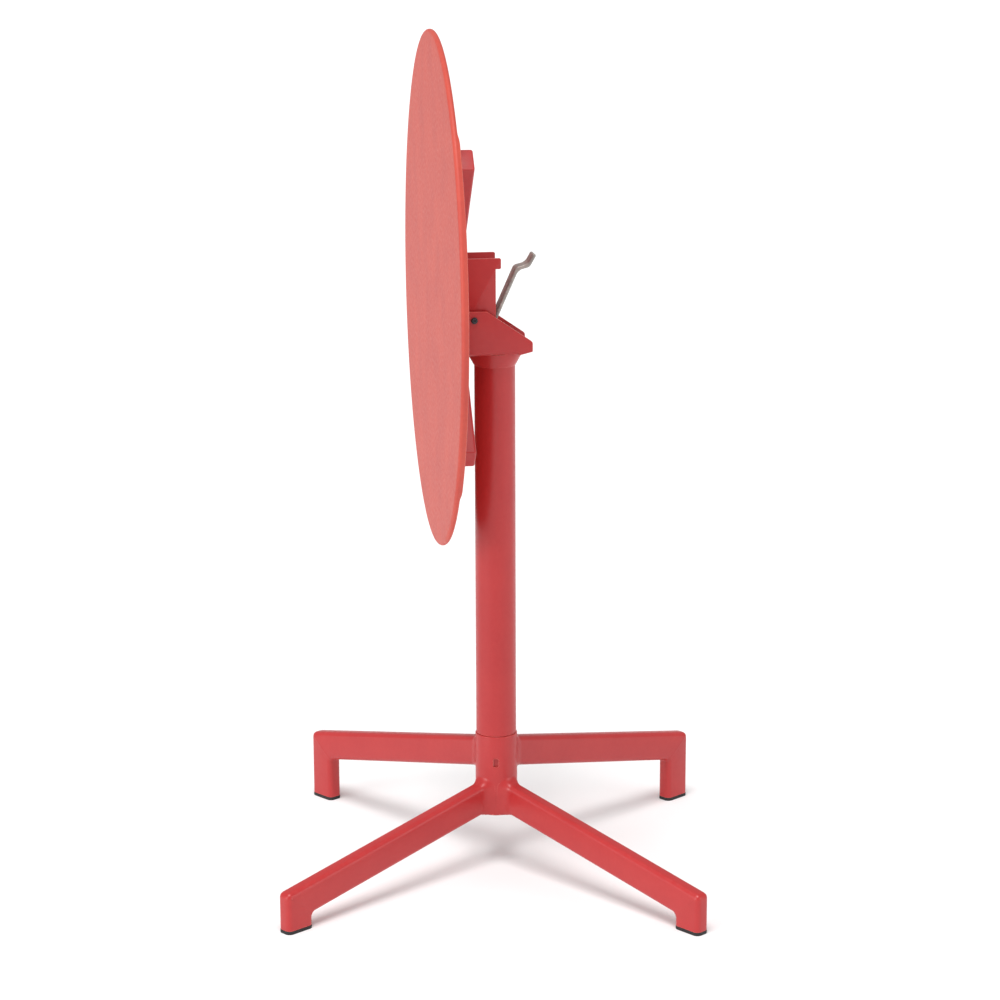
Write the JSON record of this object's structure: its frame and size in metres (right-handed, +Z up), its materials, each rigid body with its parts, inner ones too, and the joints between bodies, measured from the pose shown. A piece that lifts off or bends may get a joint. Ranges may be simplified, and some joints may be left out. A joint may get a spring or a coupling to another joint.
{
  "type": "tilting bistro table",
  "caption": "Round bistro table with a top that tips upright on a pedestal: sprung tilt lever, tube column and four splayed legs on black glides.",
  "frame": {"origin": "on the floor, under the column's axis, which is also the centre of the footprint", "axes": "+Z up along the column; +Y along the tilt hinge, away from the pivot bolt's head; -X the way the folded top's upper face looks"},
  "size_m": [0.5704, 0.6174, 1.0402],
  "materials": {
    "top_red": "fine-textured matt powder coat",
    "frame_red": "satin powder coat",
    "lever_steel": "bare, slightly rough cast or blanked steel",
    "zinc_steel": "zinc plated",
    "dark_steel": "black oxide",
    "glide_black": "matt moulded",
    "bush_nylon": "natural nylon"
  },
  "bodies": {
    "pedestal": {"tilt_head": "frame_red", "column_tube": "frame_red", "hub": "frame_red", "front_left_leg": "frame_red", "front_left_glide": "glide_black", "front_right_leg": "frame_red", "front_right_glide": "glide_black", "back_right_leg": "frame_red", "back_right_glide": "glide_black", "back_left_leg": "frame_red", "back_left_glide": "glide_black", "pivot_bolt": "dark_steel", "set_screw": "dark_steel", "pivot_washer": "zinc_steel", "pivot_nut": "zinc_steel", "lever_pin": "zinc_steel", "lever_stop_pin": "zinc_steel", "tie_rod": "zinc_steel", "tie_washer": "zinc_steel", "tie_nut": "zinc_steel", "near_bush": "bush_nylon", "far_bush": "bush_nylon"},
    "top": {"tabletop": "top_red", "brace_long": "frame_red", "brace_near": "frame_red", "brace_far": "frame_red", "tilt_channel": "frame_red", "latch_bar": "zinc_steel", "pivot_sleeve": "zinc_steel", "channel_screw_1": "dark_steel", "channel_screw_2": "dark_steel", "channel_screw_3": "dark_steel", "channel_screw_4": "dark_steel"},
    "lever_arm": {"lever": "lever_steel", "lever_spring": "zinc_steel"}
  },
  "joints": [
    {"name": "top_tilt", "type": "hinge", "parent": "pedestal", "child": "top", "pos_m": [-0.029, 0, 0.6977], "axis": [0, 1, 0], "range_deg": [0, 90]},
    {"name": "lever_fold", "type": "hinge", "parent": "pedestal", "child": "lever_arm", "pos_m": [-0.0095, 0, 0.6752], "axis": [0, 1, 0], "range_deg": [0, 63]}
  ],
  "couplings": [
    {"joint": "lever_fold", "follows": "top_tilt", "ratio": 0.7}
  ]
}
